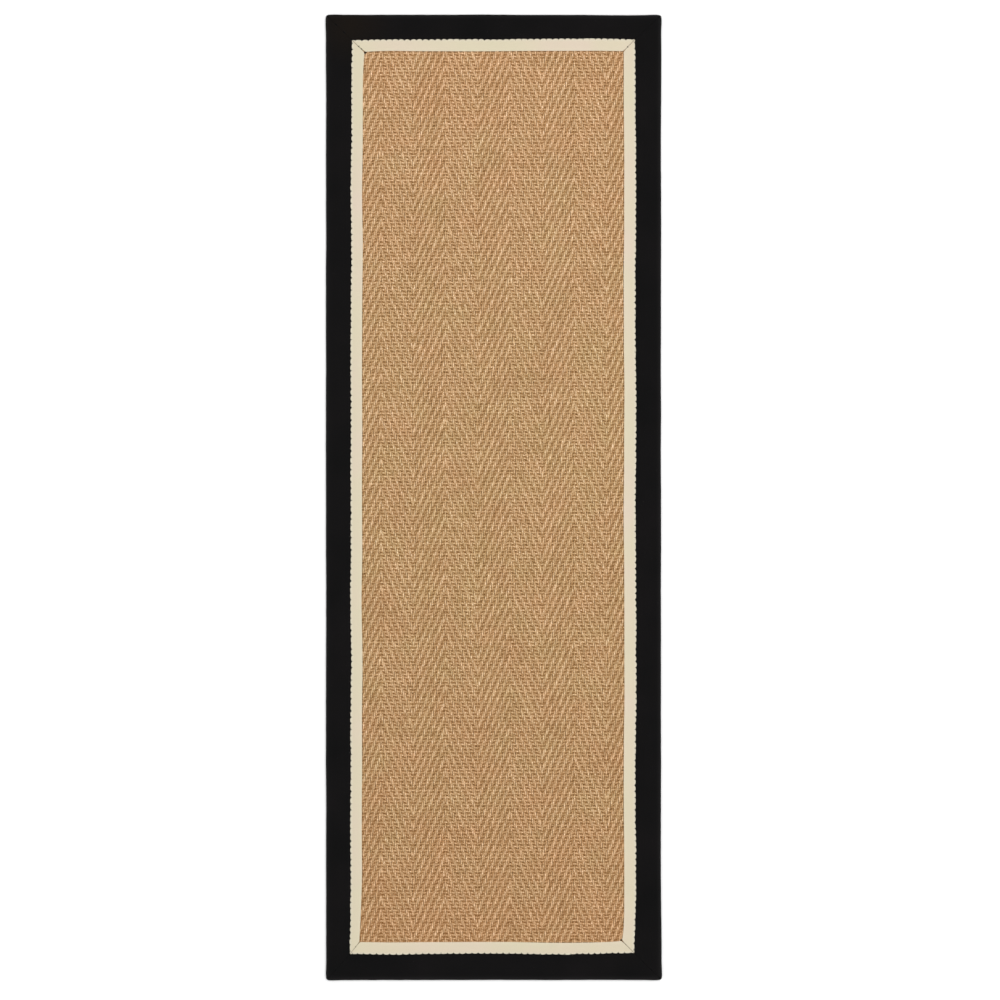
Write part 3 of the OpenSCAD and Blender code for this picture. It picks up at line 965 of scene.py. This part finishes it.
def make_mitre_stitches(corner, kind, starts, height_at, material, slot):
    """Short stitches laid square across a corner's mitre, each start being the u of one stitch."""
    sx, sy = CORNER_SIGNS[corner]
    starts, size = starts.copy(), np.ones((len(starts), 1))
    for number, (place, threads) in (KNOTS[CORNERS[corner]] if kind == "ribbon" else {}).items():
        starts[number], size[number] = TAPE_IN + place * MM, threads
    strands = []
    for u, threads in zip(starts, size[:, 0]):
        reach = max(MITRE_REACH, KNOT_REACH * threads) * MM * (1 + 0.25 * rng.uniform(-1, 1))
        lean = 0.3 * MM * rng.uniform(-1, 1)
        share = np.linspace(-1, 1, len(MITRE_ARC))
        across = reach * share / math.sqrt(2)
        along = lean * share
        x = sx * (HALF_W - u + across + along)
        y = sy * (HALF_L - u - across + along)
        strands.append(np.stack([x, y, height_at(u) + MITRE_ARC], 1))
    mitre_line = np.array([sx, sy, 0]) / math.sqrt(2)
    name = f"{kind}_mitre_stitches_{CORNERS[corner]}"
    piece = tubes(name + "_thread", hand_laid(np.array(strands)), mitre_line, MITRE_STRAND * size,
                  MITRE_STRAND * np.minimum(size, 3), 8, material, slot)
    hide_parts(name)


def ribbon_height(u):
    """Height of the ribbon's upper surface at u, or past its fold, of a knot on the sisal."""
    if u > RIBBON_IN:
        return SISAL_Z1 + KNOT_HEIGHT
    line = ribbon_line()[::-1]
    top = line[: int(np.argmax(line[:, 0] > RIBBON_IN - 0.8 * MM))]
    return float(np.interp(u, top[:, 0], top[:, 1]))


# ---- the underside

def make_latex(material):
    """The latex coat: a soft slab in the field, thinner at its rim, which stops just short of the back
    flaps.
    """
    gap, spacing = 1 * MM, 8 * MM          # between it and the flaps; between the mesh's points
    half_x, half_y = HALF_W - FLAP_W - gap, HALF_L - FLAP_W - gap
    columns, rows = int(2 * half_x / spacing), int(2 * half_y / spacing)
    x, y = np.meshgrid(np.linspace(-half_x, half_x, columns), np.linspace(-half_y, half_y, rows))
    lumps = (np.sin(x * 190) * np.sin(y * 143) + np.sin(x * 77 + y * 61)) / 2   # 3 to 10 cm long
    edge = np.minimum(half_x - np.abs(x), half_y - np.abs(y))
    under = 0.10 * MM + 0.08 * MM * lumps + 0.3 * MM * np.exp(-edge / (2 * MM))
    over = np.full_like(x, LATEX_HIGH.z - 0.2 * MM)
    low = np.stack([x, y, under], -1).reshape(-1, 3)
    high = np.stack([x, y, over], -1).reshape(-1, 3)
    face = grid_quads(rows, columns, closed=False)
    point = np.arange(len(low)).reshape(rows, columns)
    ring = np.concatenate([point[0], point[1:, -1], point[-1, -2::-1], point[-2:0:-1, 0]])
    ahead = np.roll(ring, -1)
    shift = len(low)
    wall = np.stack([ring, ahead, ahead + shift, ring + shift], 1)
    quads = np.concatenate([face[:, ::-1], face + shift, wall])
    piece = make_piece("latex_coat", np.concatenate([low, high]), quads, material)
    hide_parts("latex_backing")


# ---- stage

CAMERA_LENS = 120
SENSOR = 36
FRAME_WIDTH = 2.052  # how wide a stretch of floor the picture shows
CAMERA_SHIFT_X, CAMERA_SHIFT_Y = 12.9 * MM, -5.2 * MM
WHITE_FLOOR = (0.93, 0.93, 0.93, 1)
FLOOR_HALF = 30
FLOOR_BELOW = 0.2 * MM  # keeps it out of the plane of the rug's underside
SKY_LIGHT = 0.68
# Each sun's name, strength, and its width, tilt and turn in degrees.
SUNS = (("key", 0.85, 50, 25, 130), ("fill", 0.55, 60, 20, -40))
SOFTBOX_SIZE, SOFTBOX_POWER, SOFTBOX_PLACE = 1.6, 21, (0.7, 0.65, 3.4)


def make_camera():
    """Straight above the rug and a little off its middle, as the photo was taken."""
    data = bpy.data.cameras.new("camera")
    data.lens = CAMERA_LENS
    data.sensor_width = SENSOR
    camera = bpy.data.objects.new("camera", data)
    camera.location = (CAMERA_SHIFT_X, CAMERA_SHIFT_Y, TAPE_Z1 + FRAME_WIDTH * CAMERA_LENS / SENSOR)
    link(camera)
    bpy.context.scene.camera = camera


def make_floor():
    """A white floor that runs out of the picture on all sides."""
    n = Nodes("studio_floor")
    n.finish(WHITE_FLOOR, roughness=1.0, specular=0.0)
    mesh = bpy.data.meshes.new("floor")
    points = [(FLOOR_HALF * x, FLOOR_HALF * y, 0) for x, y in ((-1, -1), (1, -1), (1, 1), (-1, 1))]
    mesh.from_pydata(points, [], [(0, 1, 2, 3)])
    mesh.materials.append(n.material)
    floor = bpy.data.objects.new("floor", mesh)
    floor.location.z = -FLOOR_BELOW
    link(floor)


def make_lights():
    """An even white sky, two very soft suns, and a softbox over the right side of the head end."""
    world = bpy.data.worlds.new("studio")
    world.use_nodes = True
    sky = world.node_tree.nodes["Background"]
    sky.inputs[0].default_value = (1, 1, 1, 1)
    sky.inputs[1].default_value = SKY_LIGHT
    bpy.context.scene.world = world
    for name, strength, width, tilt, turn in SUNS:
        data = bpy.data.lights.new(name, "SUN")
        data.energy = strength
        data.angle = math.radians(width)
        light = bpy.data.objects.new(name, data)
        light.rotation_euler = (math.radians(tilt), 0, math.radians(turn))
        link(light)
    data = bpy.data.lights.new("softbox", "AREA")
    data.shape = "SQUARE"
    data.size = SOFTBOX_SIZE
    data.energy = SOFTBOX_POWER
    softbox = bpy.data.objects.new("softbox", data)
    softbox.location = SOFTBOX_PLACE
    link(softbox)
    bpy.context.scene.view_settings.view_transform = "Standard"


# ---- the whole rug

make_camera()
make_floor()
make_lights()

sisal = sisal_material()
black_cotton = canvas_material()
cream_cotton = ribbon_material()
black_thread = thread_material("waxed_thread", (0.005, 0.005, 0.0055), 0.1)
mitre_thread = thread_material("mitre_thread", (0.022, 0.016, 0.010), 0.05)
cream_thread = thread_material("cream_thread", (0.60, 0.53, 0.40), 0.1)

warps = make_warps(sisal)
wefts = make_wefts(sisal)
margins = [make_margin(side, sisal) for side in range(4)]
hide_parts("sisal_cloth")

make_latex(latex_material())
for side in range(4):
    places = whip_places(side)
    make_binding(side, places, black_cotton)
    make_ribbon(side, places, cream_cotton)
    make_whip_stitches(side, places, black_thread)
    make_seam_thread(side, cream_thread)
for corner in range(4):
    make_mitre_stitches(corner, "binding", np.arange(10 * MM, 36 * MM, MITRE_PITCH),
                        lambda u: TAPE_Z1 - RIBBON_T + 0.05 * MM, black_thread, "black_thread")
    make_mitre_stitches(corner, "ribbon", TAPE_IN + MITRE_PITCH * np.array([0.5, 1.6, 2.6, 3.7]),
                        ribbon_height, mitre_thread, "mitre_thread")

glue = glue_material()
for side in SIDES:
    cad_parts["flap_glue_" + side].material_slots[0].material = glue
